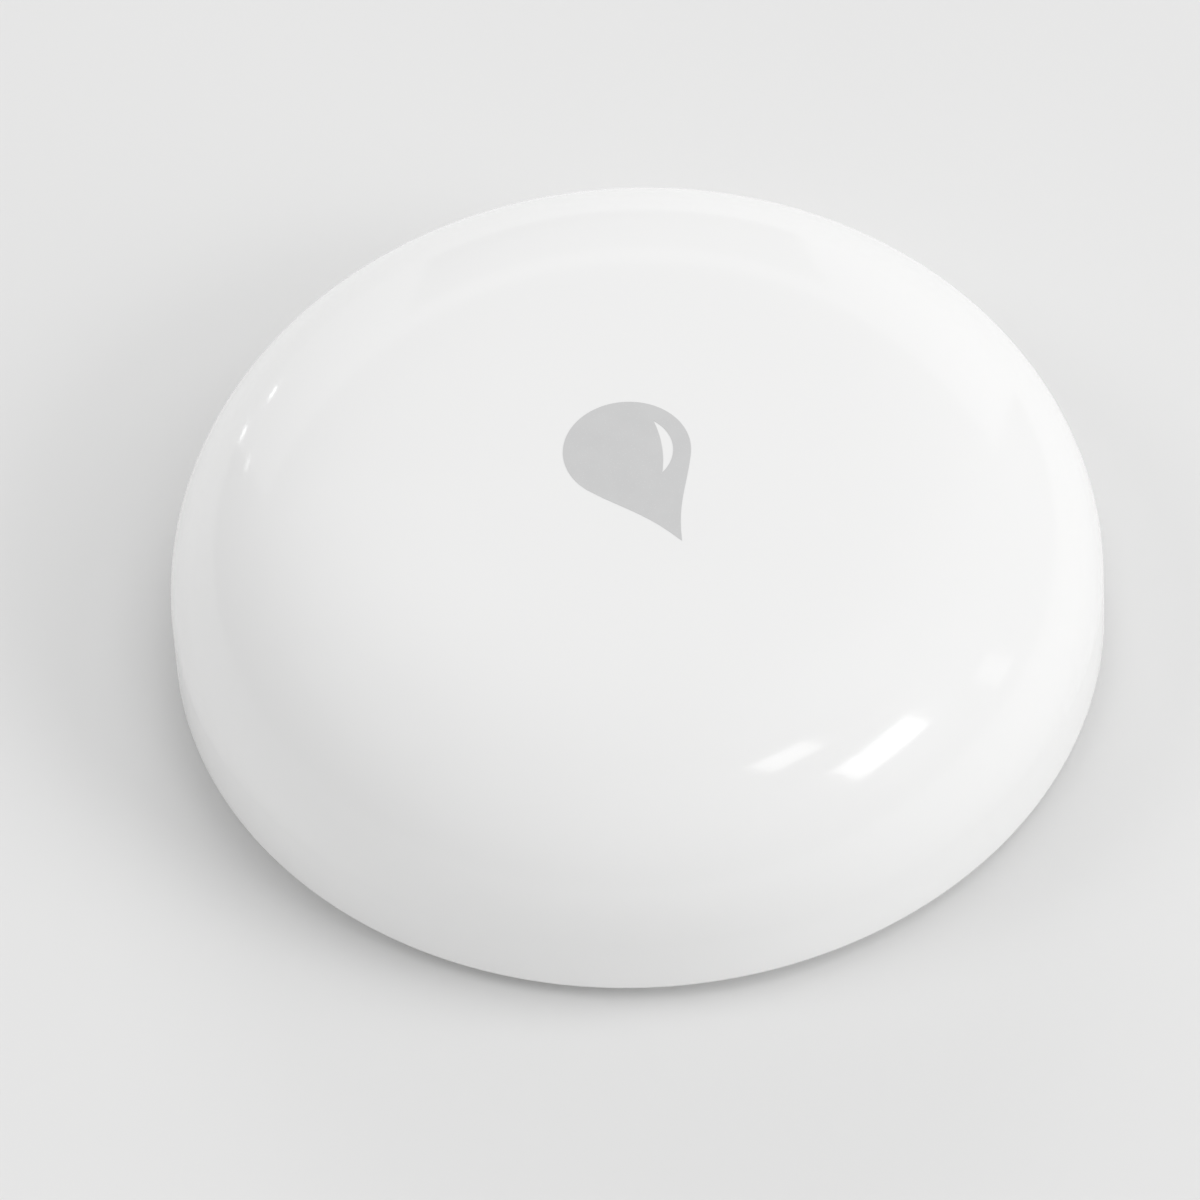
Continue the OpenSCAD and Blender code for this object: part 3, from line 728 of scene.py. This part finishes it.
back = Vector((sin(SIGHT_AZIMUTH) * cos(SIGHT_ELEVATION), -cos(SIGHT_AZIMUTH) * cos(SIGHT_ELEVATION),
               sin(SIGHT_ELEVATION)))
level = Vector((cos(SIGHT_AZIMUTH), sin(SIGHT_AZIMUTH), 0))
away = Vector((-sin(SIGHT_AZIMUTH), cos(SIGHT_AZIMUTH), 0))
across = Matrix.Rotation(SIGHT_ROLL, 3, back) @ level
upward = back.cross(across)
eye = AIM_POINT + back * SIGHT_DISTANCE
eye -= across * ((AIM_PIXEL[0] - PICTURE / 2) / PIXELS_PER_METRE)
eye += upward * ((AIM_PIXEL[1] - PICTURE / 2) / PIXELS_PER_METRE)
camera = bpy.data.objects.new("camera", bpy.data.cameras.new("camera"))
camera.data.sensor_width = SENSOR
camera.data.lens = SENSOR * PIXELS_PER_METRE * SIGHT_DISTANCE / PICTURE
camera.data.clip_start = NEAREST_SEEN
camera.matrix_world = Matrix.Translation(eye) @ Matrix((across, upward, back)).transposed().to_4x4()
bpy.context.scene.collection.objects.link(camera)
bpy.context.scene.camera = camera


def lamp(name, towards, distance, size, radiance, mirrored=True):
    """Soft lamp that faces the sensor; towards is right, away and up as the camera sees it."""
    light = bpy.data.lights.new(name, "AREA")
    light.shape = "RECTANGLE"
    light.size, light.size_y = size
    light.energy = radiance * pi * size[0] * size[1]
    piece = bpy.data.objects.new(name, light)
    direction = (level * towards[0] + away * towards[1] + Vector((0, 0, towards[2]))).normalized()
    piece.location = direction * distance
    piece.rotation_euler = direction.to_track_quat("Z", "Y").to_euler()
    piece.visible_camera = False
    piece.visible_glossy = mirrored
    bpy.context.scene.collection.objects.link(piece)


# Large soft lamps that only light, and smaller ones that the gloss mirrors
SOFT_AWAY, SOFT_SIZE = 2.4, (1.05, 1.05)
WINDOW_AWAY = 1.5
SMALL_LAMP_SIZE = (0.045, 0.05)
for name, towards, radiance in (
        ("key", (0.75, 0, 0.66), 2.1),
        ("ceiling", (0.35, 0.1, 0.93), 1.85),
        ("left_fill", (-0.7, 0, 0.7), 2.1),
        ("front_fill", (0.8, -0.4, 0.45), 2.7),
        ("back_fill", (0, 0.94, 0.3), 2.5)):
    lamp(name, towards, SOFT_AWAY, SOFT_SIZE, radiance, mirrored=False)
lamp("back_wall", (0, 0.94, 0.3), SOFT_AWAY, (3.9, 1.5), 0.37)
lamp("window_high", (0.37, -0.33, 0.87), WINDOW_AWAY, (0.27, 0.21), 2.5)
lamp("window_low", (0.70, -0.39, 0.59), WINDOW_AWAY, (0.5, 0.345), 3.2)
lamp("side_window", (0.95, -0.02, 0.31), WINDOW_AWAY, (0.18, 0.42), 0.8)
for towards, radiance in (
        ((-0.51, 0.85, 0.11), 4.5),
        ((-0.59, 0.80, 0.02), 4.5),
        ((-0.64, 0.74, 0.22), 3.0)):
    lamp("small_lamp", towards, WINDOW_AWAY, SMALL_LAMP_SIZE, radiance)
UNDER_AWAY, UNDER_SIZE = 0.4, (0.3, 0.3)
lamp("under", (0.3, -0.2, -1), UNDER_AWAY, UNDER_SIZE, 2.0)


def floor_finish(name, seen, bounced):
    """Matt paint, clear from below; it looks as dark as seen and gives back light as bounced."""
    finish = Finish(name)
    grain = finish.grain(30 * MM, 2)
    look = finish.blend(grain, tinted(seen, 0.99), tinted(seen, 1.01))
    direct = finish.node("ShaderNodeLightPath", output="Is Camera Ray")
    finish.surface({
        "Base Color": finish.blend(direct, bounced, look),
        "Roughness": 0.7,
        "Specular IOR Level": 0.2,
    })
    below = finish.node("ShaderNodeNewGeometry", output="Backfacing")
    clear = finish.node("ShaderNodeBsdfTransparent")
    solid = Value(finish, finish.shader.outputs[0])
    both = finish.node("ShaderNodeMixShader", sockets=[below, solid, clear])
    finish.fill(finish.tree.nodes["Material Output"].inputs["Surface"], both)
    return finish.material


def make_floor():
    """Pale floor with an opening that lights the underside, and in its place a near-black disc that only the
    camera sees: painted shade under the sensor.
    """
    opening, reach, steps, shade_depth = 22.8 * MM, 5.0, 96, 0.05 * MM
    seen, bounced, shaded = (0.78, 0.78, 0.778), (0.87, 0.87, 0.868), (0.1, 0.1, 0.1)
    turns = [FULL_TURN * i / steps for i in range(steps)]
    work = bmesh.new()
    inner, outer = ([work.verts.new((r * cos(a), r * sin(a), 0)) for a in turns] for r in (opening, reach))
    for i in range(steps):
        j = (i + 1) % steps
        work.faces.new((inner[i], outer[i], outer[j], inner[j]))
    pale = floor_finish("floor_pale", seen, bounced)
    finish_mesh("floor", work, pale, closed=False)
    work = bmesh.new()
    work.faces.new([work.verts.new((opening * cos(a), opening * sin(a), -shade_depth)) for a in turns])
    # Painted shade: a near-black disc, seen by the camera only, stands in for the shadow under the sensor
    dark = floor_finish("floor_painted_shade", shaded, shaded)
    shade = finish_mesh("floor_shade", work, dark, closed=False)
    shade.visible_diffuse = shade.visible_glossy = shade.visible_shadow = False


make_floor()

# Even light from all round
WORLD_STRENGTH = 0.56
world = bpy.data.worlds.new("studio")
world.use_nodes = True
sky = world.node_tree.nodes["Background"]
sky.inputs["Color"].default_value = (1, 1, 1, 1)
sky.inputs["Strength"].default_value = WORLD_STRENGTH
bpy.context.scene.world = world

bpy.context.scene.view_settings.view_transform = "Standard"
